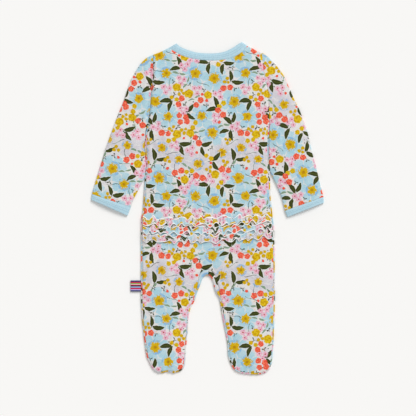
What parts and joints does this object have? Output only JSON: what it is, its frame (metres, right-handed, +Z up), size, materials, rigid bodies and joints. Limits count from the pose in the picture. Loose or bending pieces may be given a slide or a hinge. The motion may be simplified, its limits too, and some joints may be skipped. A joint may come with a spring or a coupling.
{
  "type": "footed baby sleepsuit",
  "caption": "Footed baby sleepsuit laid flat, back up: long set-in sleeves, bound neck and cuffs, gathered frills across the seat, and a small folded side tab.",
  "frame": {"origin": "centre of the bounding box on the surface that the garment lies on", "axes": "+Y towards the neck, +Z up out of the garment's back, +X towards the wearer's right sleeve, with the front lying on the surface"},
  "size_m": [0.3796, 0.5422, 0.0088],
  "materials": {
    "printed_jersey": "soft cotton jersey, off-white with a small floral print",
    "binding": "light blue rib binding",
    "ribbon": "woven striped ribbon"
  },
  "bodies": {
    "root": {"back": "printed_jersey", "front_left": "printed_jersey", "front_right": "printed_jersey", "foot_left": "printed_jersey", "foot_right": "printed_jersey", "sleeve_left": "printed_jersey", "sleeve_right": "printed_jersey", "frill_1": "printed_jersey", "frill_2": "printed_jersey", "frill_3": "printed_jersey", "placket": "printed_jersey", "cuff_left": "binding", "cuff_right": "binding", "neck_binding": "binding", "side_label": "ribbon"}
  },
  "joints": []
}
